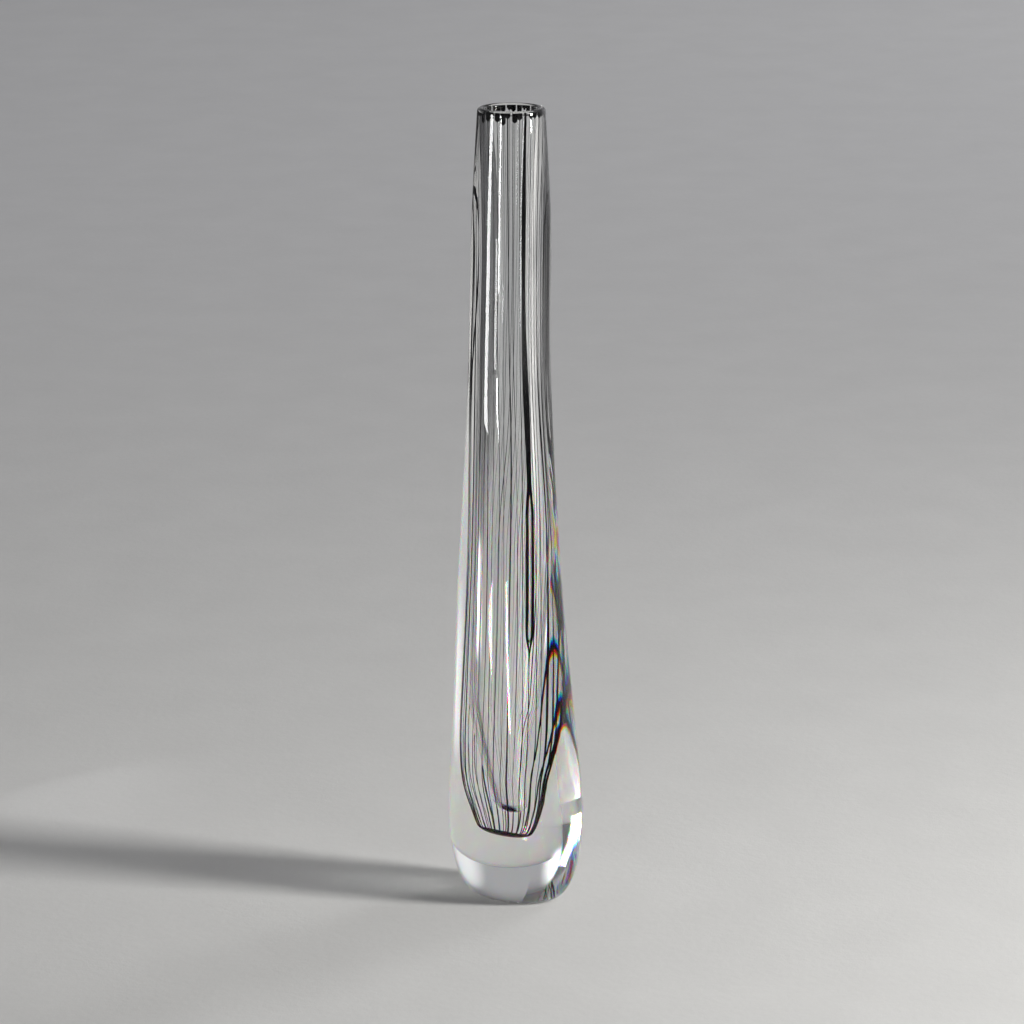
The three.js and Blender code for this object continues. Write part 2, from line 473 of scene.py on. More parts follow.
@dataclass(frozen=True)
class GlowCard:
    """A glowing card of painted light whose edges fade away: it lights nothing, and only the glass shows
    it, as a bright patch low in the glass.

    Attributes:
        across: Where it fades in along X, from clear to full, and out again.
        rise: Where it fades in and out again along Z.
        colour: Its light.
    """

    across: tuple[float, float, float, float]
    rise: tuple[float, float, float, float]
    colour: Rgb = (2.2, 2.2, 2.25)

    def material(self) -> bpy.types.Material:
        """Make the material.

        Returns:
            The finished material.
        """
        made = bpy.data.materials.new("painted_glow")
        # Rays find it by chance alone, so that it shows in the glass and doesn't light the floor.
        made.cycles.emission_sampling = "NONE"
        tree = ShaderTree(made)
        share = self._band(tree.axis("X"), self.across) * self._band(tree.axis("Z"), self.rise)
        clear = tree.node("ShaderNodeBsdfTransparent")
        light = tree.node("ShaderNodeEmission", {}, {"Color": (*self.colour, 1.0), "Strength": 1.0})
        mixed = tree.node("ShaderNodeMixShader", {}, {0: share, 1: clear.outputs[0], 2: light.outputs[0]})
        tree.finish(mixed)
        return made

    @staticmethod
    def _band(place: Value, edges: tuple[float, float, float, float]) -> Value:
        """Return 1 between the middle two edges, fading to 0 at the outer two."""
        return place.ramp(edges[0], edges[1]) * (1.0 - place.ramp(edges[2], edges[3]))


# ---------------------------------------------------------------------------------------- outlines


class Level(Enum):
    """How far up the body each level lies, from the top of the bubble's end to the lip."""

    HIP = 0.0
    WAIST = 0.29
    NECK = 0.57
    COLLAR = 0.82
    MOUTH = 1.0


def smooth(value: float, low: float, high: float) -> float:
    """Return 0 up to low, 1 from high, and a smooth step between."""
    share = min(max((value - low) / (high - low), 0.0), 1.0)
    return share * share * (3.0 - 2.0 * share)


def spline(points: Sequence[Point], steps: int) -> list[Point]:
    """Draw a smooth curve through points.

    Args:
        points: The points to go through.
        steps: How many equal steps to take over the whole curve.

    Returns:
        The curve's points, both ends included.
    """
    drawn = []
    last = len(points) - 1
    for step in range(steps + 1):
        place = step / steps * last
        number = min(int(place), last - 1)
        share = place - number
        around = [points[min(max(number + k, 0), last)] for k in (-1, 0, 1, 2)]
        drawn.append(tuple(_through(share, *(p[axis] for p in around)) for axis in (0, 1)))
    return drawn


def _through(share: float, before: float, start: float, end: float, after: float) -> float:
    """Find a number on a smooth curve through four numbers.

    Args:
        share: How far to go from start to end.
        before: The number before start.
        start: The number at 0.
        end: The number at 1.
        after: The number after end.

    Returns:
        The number at that share.
    """
    leaving, arriving = (end - before) / 2, (after - start) / 2
    cube, square = share**3, share**2
    return (
        (2 * start - 2 * end + leaving + arriving) * cube
        + (3 * end - 3 * start - 2 * leaving - arriving) * square
        + leaving * share
        + start
    )


def bezier(corners: Sequence[Point], steps: int) -> list[Point]:
    """Draw a Bezier curve.

    Args:
        corners: The curve's control points, three or four of them.
        steps: How many steps to take.

    Returns:
        The curve's points, both ends included.
    """
    drawn = []
    for step in range(steps + 1):
        row = list(corners)
        share = step / steps
        while len(row) > 1:
            pairs = zip(row[:-1], row[1:])
            row = [tuple(a + (b - a) * share for a, b in zip(p, q)) for p, q in pairs]
        drawn.append(row[0])
    return drawn


def round_end(radius: float, bottom: float, steps: int) -> list[Point]:
    """Draw the round lower end of a tube.

    Args:
        radius: The tube's radius.
        bottom: Height of the end's lowest point.
        steps: How many steps to take.

    Returns:
        Points from the axis out to the tube.
    """
    turns = [step / steps * math.pi / 2 for step in range(steps + 1)]
    return [(radius * math.sin(turn), bottom + radius * (1 - math.cos(turn))) for turn in turns]


def normals(outline: Sequence[Point]) -> list[Point]:
    """Find which way each point of an outline faces.

    Args:
        outline: The outline, which starts on the axis.

    Returns:
        The outward direction at each of its points.
    """
    facing = []
    for number in range(len(outline)):
        before = outline[max(number - 1, 0)]
        after = outline[min(number + 1, len(outline) - 1)]
        along = Vector((after[0] - before[0], after[1] - before[1])).normalized()
        facing.append((along.y, -along.x))
    facing[0] = (0.0, -1.0)
    return facing


# ---------------------------------------------------------------------------------- sizes and form


# The bubble's end, flat under the pool and tapered above it: shares of its radius and its length.
BUBBLE_END: tuple[Point, ...] = (
    (0.0, 0.0),
    (0.3, 0.004),
    (0.5, 0.02),
    (0.58, 0.06),
    (0.67, 0.15),
    (0.82, 0.335),
    (0.925, 0.565),
    (0.98, 0.78),
    (1.0, 1.0),
)


@dataclass(frozen=True)
class Form:
    """The vase's sizes and the way its bubble leans and slumps, in metres.

    Attributes:
        height: From the foot to the top of the lip.
        belly_radius: Half the widest part's width.
        belly_height: Height of the widest part.
        foot_radius: Radius of the flat foot.
        base: Solid glass between the foot and the pool.
        cavity: Radius of the air space at each level.
        bubble_wall: The bubble's wall at each level.
        casing_wall: The casing's wall at each level.
        cavity_tip: Radius of the round tip of the air space.
        cavity_taper: Length over which the air space tapers.
        taper_corner: Where that taper bends: shares of the tip's radius and of the taper's length.
        taper_join: Length that is left out above the taper, so that it runs on smoothly.
        cavity_lean: How far its tip leans to one side inside the bubble.
        bubble_floor: Glass between the air space and the bubble's end.
        end_length: Length of the bubble's end.
        lip_depth: Depth of the lip over the bubble.
        thread_gap: Room for the threads between bubble and casing.
        thread_end: How far below the top of the lip the threads end.
        pool_radius: Radius of the black pool.
        pool_thickness: Its thickness.
        pool_reach: How far past the pool the room for it fades out.
        clearance: Clear space between pieces.
        bubble_offset: How far the bubble's axis lies from the belly's, along X and Y.
        out_of_round: Ratio of the body's narrow way to its wide way.
        wide_way: Direction of the wide way, from +X towards +Y.
        neck_drift: How far that axis drifts towards +X in the neck.
        end_drift: How far it drifts towards +X at the bubble's lower end.
        drift_reach: Height over which that drift fades.
        end_slope: Slope of the bubble's slumped end along X and Y.
    """

    height: float
    belly_radius: float
    belly_height: float = 36.0 * MM
    foot_radius: float = 17.0 * MM
    base: float = 27.5 * MM
    cavity: tuple[float, ...] = (10.3 * MM, 11.05 * MM, 9.5 * MM, 9.2 * MM, 11.6 * MM)
    bubble_wall: tuple[float, ...] = (2.8 * MM, 1.2 * MM, 1.0 * MM, 0.9 * MM, 0.75 * MM)
    casing_wall: tuple[float, ...] = (12.7 * MM, 8.25 * MM, 6.2 * MM, 5.75 * MM, 1.05 * MM)
    cavity_tip: float = 4.8 * MM
    cavity_taper: float = 46.0 * MM
    taper_corner: Point = (1.4, 0.45)
    taper_join: float = 4.0 * MM
    cavity_lean: float = 3.0 * MM
    bubble_floor: float = 9.0 * MM
    end_length: float = 46.0 * MM
    lip_depth: float = 2.0 * MM
    thread_gap: float = 1.5 * MM
    thread_end: float = 1.2 * MM
    pool_radius: float = 6.6 * MM
    pool_thickness: float = 1.0 * MM
    pool_reach: float = 3.0 * MM
    clearance: float = 0.3 * MM
    bubble_offset: Point = (-2.6 * MM, 4.7 * MM)
    out_of_round: float = 0.78
    wide_way: float = math.radians(-52.0)
    neck_drift: float = 0.8 * MM
    end_drift: float = 2.0 * MM
    drift_reach: float = 26.0 * MM
    end_slope: Point = (0.2, 0.16)

    @classmethod
    def from_frame(cls) -> "Form":
        """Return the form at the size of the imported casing."""
        low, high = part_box("outer_casing")
        return cls(height=high[2] - low[2], belly_radius=(high[0] - low[0]) / 2)

    @property
    def pool_gap(self) -> float:
        """Room between bubble and casing at the pool."""
        return self.pool_thickness + 2 * self.clearance

    @property
    def bubble_bottom(self) -> float:
        """Height of the bubble's lowest glass before it slumps."""
        return self.base + self.pool_gap

    @property
    def hip_height(self) -> float:
        """Height of the top of the bubble's end."""
        return self.bubble_bottom + self.end_length

    @property
    def lip_underside(self) -> float:
        """Height where the lip meets the bubble."""
        return self.height - self.lip_depth

    @property
    def thread_top(self) -> float:
        """Height of the threads' upper ends, within the lip."""
        return self.height - self.thread_end

    def level(self, level: Level) -> float:
        """Return a level's height."""
        return self.hip_height + level.value * (self.lip_underside - self.hip_height)

    def by_level(self, *walls: tuple[float, ...]) -> list[Point]:
        """Add up walls, from the inside out.

        Args:
            walls: The radius or the thickness at each level.

        Returns:
            Their sum at each level, as (radius, height).
        """
        return [
            (sum(wall[number] for wall in walls), self.level(level))
            for number, level in enumerate(Level)
        ]

    def bubble_outside(self) -> list[Point]:
        """Draw the bubble's outside.

        Returns:
            Its outline, from the axis up to the lip.
        """
        tube = self.by_level(self.cavity, self.bubble_wall)
        radius = tube[0][0]
        end = [(radius * across, self.bubble_bottom + self.end_length * up) for across, up in BUBBLE_END]
        return [*spline(end, 72), *spline(tube, 150)[1:]]

    def cavity_wall(self) -> list[Point]:
        """Draw the air space's wall.

        Returns:
            Its outline, from its tip up to the lip.
        """
        bottom = self.bubble_bottom + self.bubble_floor
        tip = round_end(self.cavity_tip, bottom, 24)
        tube = self.by_level(self.cavity)
        start, end = tip[-1], (self.cavity[0], bottom + self.cavity_taper)
        wider, higher = self.taper_corner
        middle = (start[0] * wider, start[1] + (end[1] - start[1]) * higher)
        taper = bezier((start, middle, end), 40)
        above = [point for point in spline(tube, 150) if point[1] > end[1] + self.taper_join]
        return [*tip, *taper[1:], *above]

    def outside(self) -> list[Point]:
        """Draw the vase's outside.

        Returns:
            Its outline, from the middle of the foot over the lip to the bore.
        """
        rise = [step / 40 * math.pi / 2 for step in range(41)]
        spread = self.belly_radius - self.foot_radius
        foot = [
            (self.foot_radius + spread * math.sin(a), self.belly_height * (1 - math.cos(a))) for a in rise
        ]
        walls = self.by_level(self.cavity, self.bubble_wall, self.casing_wall)
        levels = [(radius + self.thread_gap, height) for radius, height in walls]
        lip_radius = (levels[-1][0] - self.cavity[-1]) / 2
        levels[-1] = (levels[-1][0], self.height - lip_radius)
        hip, waist = levels[0], levels[1]
        reach = (hip[1] - self.belly_height) / 3
        slope = (waist[0] - hip[0]) / (waist[1] - hip[1])
        leaving = (self.belly_radius, self.belly_height + reach)
        arriving = (hip[0] - slope * reach, hip[1] - reach)
        shoulder = bezier((foot[-1], leaving, arriving, hip), 24)[1:-1]
        turn = [step / 24 * math.pi for step in range(1, 25)]
        lip = [
            (
                self.cavity[-1] + lip_radius * (1 + math.cos(a)),
                self.height - lip_radius + lip_radius * math.sin(a),
            )
            for a in turn
        ]
        return [(0.0, 0.0), *foot, *shoulder, *spline(levels, 150), *lip]

    def offset(self, outline: Sequence[Point], distance: Callable[[Point], float]) -> list[Point]:
        """Move an outline outwards.

        Args:
            outline: The outline, which starts on the axis.
            distance: How far each of its points moves.

        Returns:
            The moved outline.
        """
        moved = []
        for point, facing in zip(outline, normals(outline)):
            far = distance(point)
            moved.append((max(point[0] + facing[0] * far, 0.0), point[1] + facing[1] * far))
        return moved

    def gap(self, point: Point) -> float:
        """Find the room between bubble and casing.

        Args:
            point: A point of the bubble's outside.

        Returns:
            The room there.
        """
        if point[1] >= self.hip_height:
            return self.thread_gap
        share = smooth(point[0], self.pool_radius + self.clearance, self.pool_radius + self.pool_reach)
        return self.pool_gap + (self.thread_gap - self.pool_gap) * share

    def bubble_axis(self, height: float) -> Vector:
        """Return where the bubble's axis lies at a height."""
        in_neck = smooth(height, self.level(Level.NECK), self.level(Level.COLLAR))
        return Vector((self.bubble_offset[0] + self.neck_drift * in_neck, self.bubble_offset[1], 0.0))

    def slumped(self, point: Vector) -> Vector:
        """Move a point of the bubble to where it lies in the finished glass.

        Args:
            point: The point as turned.

        Returns:
            The point as blown.
        """
        low = 1.0 - smooth(point.z, self.bubble_bottom, self.hip_height)
        drop = self.end_slope[0] * point.x + self.end_slope[1] * point.y
        tip = 1.0 - smooth(point.z, self.bubble_bottom, self.bubble_bottom + self.drift_reach)
        return point + self.bubble_axis(point.z) + Vector((self.end_drift * tip, 0.0, -drop * low))

    def hollow(self, point: Vector) -> Vector:
        """Move a point of the air space's wall to where it lies in the finished glass.

        Args:
            point: The point as turned.

        Returns:
            The point as blown.
        """
        bottom = self.bubble_bottom + self.bubble_floor
        low = 1.0 - smooth(point.z, bottom, bottom + self.cavity_taper)
        return self.slumped(point + Vector((self.cavity_lean * low, 0.0, 0.0)))

    def cased(self, point: Vector) -> Vector:
        """Move a point of the casing's outside to where it lies in the finished glass.

        Args:
            point: The point as turned.

        Returns:
            The point as blown, in an oval that is as wide along X as the round was.
        """
        in_belly = 1.0 - smooth(point.z, self.belly_height, self.level(Level.WAIST))
        in_body = 1.0 - smooth(point.z, self.level(Level.WAIST), self.level(Level.NECK))
        ratio = 1.0 - (1.0 - self.out_of_round) * in_body
        along = Vector((math.cos(self.wide_way), math.sin(self.wide_way), 0.0))
        across = Vector((-along.y, along.x, 0.0))
        swell = 1.0 / math.hypot(along.x, ratio * along.y)
        oval = (along * point.dot(along) + across * point.dot(across) * ratio) * swell
        offset = Vector((*self.bubble_offset, 0.0)) * in_belly
        return oval + Vector((0.0, 0.0, point.z)) + self.bubble_axis(point.z) - offset


# ------------------------------------------------------------------------------------ mesh makers


@dataclass
class Skin:
    """A mesh under construction, as points and faces with a finish number each."""

    points: list[Vector]
    faces: list[tuple[int, ...]]
    finishes: list[int]

    @classmethod
    def empty(cls) -> "Skin":
        """Return a skin with nothing in it."""
        return cls([], [], [])

    def add(self, other: "Skin") -> None:
        """Add another closed skin to this one.

        Args:
            other: The skin to add.
        """
        start = len(self.points)
        self.points += other.points
        self.faces += [tuple(start + corner for corner in face) for face in other.faces]
        self.finishes += other.finishes

    def object(self, name: str, materials: Sequence[bpy.types.Material]) -> bpy.types.Object:
        """Make the finished object.

        Args:
            name: The object's name.
            materials: Its finishes, in order.

        Returns:
            The object, smooth and linked to the scene.
        """
        mesh = bpy.data.meshes.new(name)
        mesh.from_pydata([tuple(point) for point in self.points], [], self.faces)
        for material in materials:
            mesh.materials.append(material)
        for polygon, number in zip(mesh.polygons, self.finishes):
            polygon.material_index = number
            polygon.use_smooth = True
        mesh.update()
        made = bpy.data.objects.new(name, mesh)
        bpy.context.scene.collection.objects.link(made)
        return made


def turned(
    outline: Sequence[Point], sides: int, place: Callable[[int], Place], finish: Callable[[int], int]
) -> Skin:
    """Turn a closed outline, which starts and ends on the axis, about +Z.

    Args:
        outline: The outline as (radius, height).
        sides: How many steps there are round it.
        place: For a ring's number, the rule that moves its points into the finished glass.
        finish: For a ring's number, the finish of the faces from it to the next ring.

    Returns:
        The skin, facing outwards.
    """
    skin = Skin.empty()
    starts = []
    for number, (radius, height) in enumerate(outline):
        starts.append(len(skin.points))
        around = 1 if number in (0, len(outline) - 1) else sides
        for side in range(around):
            angle = side / sides * 2 * math.pi
            flat = Vector((radius * math.cos(angle), radius * math.sin(angle), height))
            skin.points.append(place(number)(flat))
    for number in range(len(outline) - 1):
        here, there = starts[number], starts[number + 1]
        for side in range(sides):
            after = (side + 1) % sides
            if number == 0:
                face = (here, there + after, there + side)
            elif number == len(outline) - 2:
                face = (here + side, here + after, there)
            else:
                face = (here + side, here + after, there + after, there + side)
            skin.faces.append(face)
            skin.finishes.append(finish(number))
    return skin


def strand(
    middle: Sequence[Vector], out: Sequence[Vector], half: Sequence[Point], sides: int = 8
) -> Skin:
    """Sweep an oval along a line, closed with a point at each end.

    Args:
        middle: The line's points.
        out: The direction of the oval's thickness at each point.
        half: The oval's half thickness and half width at each point.
        sides: How many steps there are round the oval.

    Returns:
        The skin, facing outwards.
    """
    skin = Skin.empty()
    count = len(middle)
    for number in range(count):
        along = (middle[min(number + 1, count - 1)] - middle[max(number - 1, 0)]).normalized()
        thick = (out[number] - along * out[number].dot(along)).normalized()
        wide = along.cross(thick)
        for side in range(sides):
            angle = side / sides * 2 * math.pi
            reach = thick * (half[number][0] * math.cos(angle)) + wide * (half[number][1] * math.sin(angle))
            skin.points.append(middle[number] + reach)
    for number in range(count - 1):
        for side in range(sides):
            after = (side + 1) % sides
            row, above = number * sides, (number + 1) * sides
            skin.faces.append((row + side, row + after, above + after, above + side))
    for row, end, inward in ((0, middle[0], True), ((count - 1) * sides, middle[-1], False)):
        tip = len(skin.points)
        skin.points.append(end.copy())
        for side in range(sides):
            pair = (row + side, row + (side + 1) % sides)
            skin.faces.append((tip, *reversed(pair)) if inward else (tip, *pair))
    skin.finishes = [0] * len(skin.faces)
    return skin


def dress(piece: bpy.types.Object, slot: str, *nodes: str) -> None:
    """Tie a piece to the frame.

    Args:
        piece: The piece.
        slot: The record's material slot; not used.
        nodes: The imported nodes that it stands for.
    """
    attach(piece, BODY)
    if nodes:
        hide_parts(*nodes)
    log.info("%s: %d faces", piece.name, len(piece.data.polygons))


# ---------------------------------------------------------------------------------- the clear glass


@dataclass
class ClearGathers:
    """The outer casing and the inner bubble, whose fused boundary can't be seen.

    Attributes:
        form: The vase's form.
        sides: How many steps there are round each piece.
        seam: The hair's breadth left between lip and bubble.
    """

    form: Form
    sides: int = 128
    seam: float = 0.02 * MM

    def build(self) -> None:
        """Make both pieces."""
        glass = ClearGlass().material()
        inside = ClearGlass("clear_crystal_bore", wave=0.02 * MM, scuffed=False).material()
        fused = FusedBoundary().material()
        self._casing([glass, fused])
        self._bubble([inside, fused])

    def _casing(self, materials: list[bpy.types.Material]) -> None:
        """Make the casing with its foot, belly, neck and lip.

        Args:
            materials: The skin's finish, then the fused boundary's.
        """
        form = self.form
        outside = form.outside()
        bore = form.offset(form.bubble_outside(), form.gap)[::-1]
        beside = form.bubble_outside()[-1][0] + self.seam
        # The room for the threads runs on upwards as a groove in the lip.
        bore[0] = (bore[0][0], form.thread_top + form.clearance)
        bore[-1] = (0.0, bore[-1][1])
        lip = [(r, form.lip_underside) for r in (form.cavity[-1], beside)]
        outline = [*outside, *lip, (beside, bore[0][1]), *bore]
        skinned = len(outside)
        skin = turned(
            outline,
            self.sides,
            lambda ring: form.cased if ring <= skinned else form.slumped,
            lambda ring: 0 if ring < skinned else 1,
        )
        skin.add(BlackThreads(form).air_line())
        dress(skin.object("casing_glass", materials), "clear_crystal", "outer_casing")

    def _bubble(self, materials: list[bpy.types.Material]) -> None:
        """Make the bubble with the air space inside it.

        Args:
            materials: The air space's finish, then the fused boundary's.
        """
        form = self.form
        top = form.lip_underside - self.seam
        outside = form.bubble_outside()
        outside[-1] = (outside[-1][0], top)
        wall = form.cavity_wall()[::-1]
        wall[0] = (wall[0][0], top)
        outline = [*outside, *wall]
        fused = len(outside)
        skin = turned(
            outline,
            self.sides,
            lambda ring: form.slumped if ring < fused else form.hollow,
            lambda ring: 1 if ring < fused else 0,
        )
        dress(skin.object("bubble_glass", materials), "clear_crystal", "inner_bubble")


# ------------------------------------------------------------------------------- the black threads


@dataclass
class BlackThreads:
    """The black threads along the bubble, and the pool that they run into.

    Attributes:
        form: The vase's form.
        count: How many threads there are.
        heavy: Number of the one heavy thread.
        half_width: Half the usual thread's width.
        heavy_half_width: Half the heavy thread's width where it is widest.
        heavy_slim: Its width low down, as a share of the usual thread's.
        heavy_widens: Heights from the air line's lower end between which it widens.
        heavy_narrows: How far below the neck it starts to narrow again.
        heavy_narrowed: How much of its width it has lost at the lip, as a share.
        heavy_flat: Its thickness as a share of its width.
        heavy_half_thickness: Half its thickness at most.
        split: Heights between which an air line parts the heavy thread in two.
        parts: Lengths over which the air line opens at its lower end and closes at its upper.
        parted: How far each of the two strands lies from the air line's middle.
        air: Half the air line's width.
        air_tip: Its width at its two ends, as a share.
        air_ends: How far inside the parting those ends lie.
        strand_share: A strand's width as a share of the whole thread's, closed and parted.
        weights: Widths that the threads are drawn from, as shares of the usual.
        drawn_out: How much narrower the threads get in the neck, as a share.
        swell: How much a thread's width comes and goes, as a share.
        swell_rise: Height for each radian of that.
        heavy_swell: How much the heavy thread's width comes and goes, as a share.
        heavy_swell_rise: Height for each radian of that.
        sway: How far a thread wanders to each side.
        sway_rise: Height for each radian of that.
        sway_step: Radians between one thread's wandering and the next's.
        twist: How far all the threads turn about the bubble on their way up the neck.
        merged: Half a thread's width at the lip, where the threads run together.
        merges: Least and greatest distance below its upper end at which a thread merges.
        merging: Heights from there between which it widens.
        run_out: Length of the plain run at the threads' upper ends.
        tucked: How far the threads reach in under the pool's rim.
        pool_rim: The pool's thickness at its rim, as a share of that at its middle.
        seed: Starts the draw of each thread's own wandering.
    """

    form: Form
    count: int = 34
    heavy: int = 30
    half_width: float = 0.12 * MM
    heavy_half_width: float = 1.15 * MM
    heavy_slim: float = 1.3
    heavy_widens: Point = (-6.0 * MM, 16.0 * MM)
    heavy_narrows: float = 30.0 * MM
    heavy_narrowed: float = 0.5
    heavy_flat: float = 0.6
    heavy_half_thickness: float = 0.42 * MM
    split: Point = (110.0 * MM, 186.0 * MM)
    parts: Point = (10.0 * MM, 14.0 * MM)
    parted: float = 1.1 * MM
    air: float = 0.5 * MM
    air_tip: float = 0.15
    air_ends: float = 3.0 * MM
    strand_share: Point = (0.62, 0.45)
    weights: tuple[float, ...] = (0.8, 0.9, 1.0, 1.2, 1.6, 2.0)
    drawn_out: float = 0.2
    swell: float = 0.25
    swell_rise: float = 23.0 * MM
    heavy_swell: float = 0.2
    heavy_swell_rise: float = 13.0 * MM
    sway: float = 0.3 * MM
    sway_rise: float = 37.0 * MM
    sway_step: float = 2.4
    twist: float = math.radians(10.6)
    merged: float = 1.16 * MM
    merges: Point = (1.3 * MM, 4.6 * MM)
    merging: Point = (-0.6 * MM, 0.5 * MM)
    run_out: float = 4.0 * MM
    tucked: float = 0.4 * MM
    pool_rim: float = 0.35
    seed: int = 7

    def build(self) -> None:
        """Make the pool and every thread."""
        black = BlackGlass().material()
        self._pool(black)
        draw = random.Random(self.seed)
        line = self._line()
        for number in range(1, self.count + 1):
            self._thread(number, line, draw, black)

    def _line(self) -> list[Point]:
        """Draw the threads' middle line.

        Returns:
            Its (radius, height) points, from the pool to the lip.
        """
        form = self.form
        outside = form.bubble_outside()
        middle = form.offset(outside, lambda point: form.thread_gap / 2)
        kept = [m for m, p in zip(middle, outside) if p[0] > form.pool_radius - self.tucked]
        below = [point for point in kept if point[1] < form.lip_underside - self.run_out]
        steps = 12
        start = below[-1][1]
        rise = [start + (form.thread_top - start) * step / steps for step in range(1, steps + 1)]
        return [*below, *((kept[-1][0], height) for height in rise)]

    def _thread(
        self, number: int, line: list[Point], draw: random.Random, black: bpy.types.Material
    ) -> None:
        """Make one thread.

        Args:
            number: The thread's number.
            line: The threads' middle line.
            draw: Where its own wandering is drawn from.
            black: Its finish.
        """
        form = self.form
        ripple = draw.uniform(0.0, 6.28)
        usual = self.half_width * draw.choice(self.weights)
        joins = form.thread_top - draw.uniform(*self.merges)
        middle, out, half = [], [], []
        for radius, height in line:
            flat = self._on_line(number, radius, height)
            middle.append(form.slumped(flat))
            out.append(Vector((flat.x, flat.y, 0.0)).normalized())
            up_neck = smooth(height, form.level(Level.HIP), form.level(Level.COLLAR))
            swell = 1.0 + self.swell * math.sin(height / self.swell_rise + 2 * ripple)
            own = usual * (1.0 - self.drawn_out * up_neck) * swell
            joined = smooth(height, joins + self.merging[0], joins + self.merging[1])
            half.append((own, own + (self.merged - own) * joined))
        if number == self.heavy:
            skin = self._heavy(middle, out)
        else:
            skin = strand(middle, out, half)
        name = f"thread_{number:02d}"
        dress(skin.object("fine_" + name, [black]), "black_glass", name)

    def _parting(self, height: float) -> float:
        """Return how far the air line parts the heavy thread at a height, from 0 to 1."""
        (low, high), (opens, closes) = self.split, self.parts
        return smooth(height, low, low + opens) * (1.0 - smooth(height, high - closes, high))

    def _heavy(self, middle: list[Vector], out: list[Vector]) -> Skin:
        """Make the heavy thread, which is two strands that lie together or on either side of the air.

        Args:
            middle: The thread's middle line.
            out: The outward direction at each of its points.

        Returns:
            The skin of both strands.
        """
        skin = Skin.empty()
        closed, parted = self.strand_share
        for side in (-1, 1):
            route, half = [], []
            for point, facing in zip(middle, out):
                whole, parting = self._heavy_width(point.z), self._parting(point.z)
                strand_half = whole * (closed + (parted - closed) * parting)
                aside = whole * (1.0 - closed) * (1.0 - parting) + self.parted * parting
                across = Vector((-facing.y, facing.x, 0.0))
                route.append(point + across * aside * side)
                thick = min(whole * self.heavy_flat, self.heavy_half_thickness)
                half.append((thick, strand_half))
            skin.add(strand(route, out, half))
        return skin

    def _heavy_width(self, height: float) -> float:
        """Find how wide the heavy thread is: slim low down, widest by the air line, narrower above.

        Args:
            height: A height.

        Returns:
            Half its width there.
        """
        form = self.form
        slim = self.half_width * self.heavy_slim
        widens = smooth(height, self.split[0] + self.heavy_widens[0], self.split[0] + self.heavy_widens[1])
        up_neck = smooth(height, form.level(Level.NECK) - self.heavy_narrows, form.height)
        narrows = 1.0 - self.heavy_narrowed * up_neck
        swell = 1.0 - self.heavy_swell * math.sin(height / self.heavy_swell_rise)
        return slim + (self.heavy_half_width - slim) * widens * narrows * swell

    def air_line(self) -> Skin:
        """Make the long thin air bubble in the heavy thread, as a hollow in the casing.

        Returns:
            Its skin, facing into the air.
        """
        form = self.form
        low, high = self.split[0] + self.air_ends, self.split[1] - self.air_ends
        middle, out, half = [], [], []
        for radius, height in self._line():
            if low < height < high:
                flat = self._on_line(self.heavy, radius, height)
                middle.append(form.slumped(flat))
                out.append(Vector((flat.x, flat.y, 0.0)).normalized())
                open_half = self.air * (self.air_tip + (1.0 - self.air_tip) * self._parting(height))
                half.append((open_half, open_half))
        skin = strand(middle, out, half, 12)
        skin.faces = [tuple(reversed(face)) for face in skin.faces]
        return skin

    def _on_line(self, number: int, radius: float, height: float) -> Vector:
        """Find a thread's middle point before the glass slumps.

        Args:
            number: The thread's number.
            radius: Its distance from the bubble's axis.
            height: Its height.

        Returns:
            The point.
        """
        form = self.form
        turn = (number - 1) / self.count * 2 * math.pi
        phase = number * self.sway_step
        above_end = smooth(height, form.hip_height / 2, form.hip_height)
        twist = self.twist * smooth(height, form.level(Level.WAIST), form.level(Level.COLLAR))
        angle = turn - twist + self.sway * math.sin(height / self.sway_rise + phase) * above_end / radius
        return Vector((radius * math.cos(angle), radius * math.sin(angle), height))

    def _pool(self, black: bpy.types.Material) -> None:
        """Make the pool under the bubble.

        Args:
            black: Its finish.
        """
        form = self.form
        under = [point for point in form.bubble_outside() if point[0] <= form.pool_radius]
        bottom = form.offset(under, lambda point: form.clearance + form.pool_thickness * self._belly(point))
        top = form.offset(under, lambda point: form.clearance)[::-1]
        bottom[0], top[-1] = (0.0, bottom[0][1]), (0.0, top[-1][1])
        skin = turned([*bottom, *top], 96, lambda ring: form.slumped, lambda ring: 0)
        dress(skin.object("pool_glass", [black]), "black_glass", "thread_pool")

    def _belly(self, point: Point) -> float:
        """Return how thick the pool is at a point, as a share of its full thickness."""
        share = math.sqrt(max(1.0 - (point[0] / self.form.pool_radius) ** 2, 0.0))
        return self.pool_rim + (1.0 - self.pool_rim) * share


# ------------------------------------------------------------------------------------- the studio


@dataclass(frozen=True)
class Softbox:
    """One soft light.

    Attributes:
        name: The light's name.
        place: Where its middle is.
        size: Its width and height.
        power: Its power in watts.
        colour: Its colour.
        in_glass: Whether the glass shows it.
        on_floor: Whether it lights the floor.
    """

    name: str
    place: Triple
    size: Point
    power: float
    colour: Rgb = (1.0, 1.0, 1.0)
    in_glass: bool = True
    on_floor: bool = True

    def build(self, target: Vector) -> None:
        """Add the light.

        Args:
            target: The point that it faces.
        """
        data = bpy.data.lights.new(self.name, "AREA")
        data.shape = "RECTANGLE"
        data.size, data.size_y = self.size
        data.energy = self.power
        data.color = self.colour
        made = bpy.data.objects.new(self.name, data)
        made.location = self.place
        made.rotation_euler = (target - Vector(self.place)).to_track_quat("-Z", "Y").to_euler()
        made.visible_camera = False
        made.visible_diffuse = self.on_floor
        made.visible_glossy = self.in_glass
        made.visible_transmission = self.in_glass
        bpy.context.scene.collection.objects.link(made)


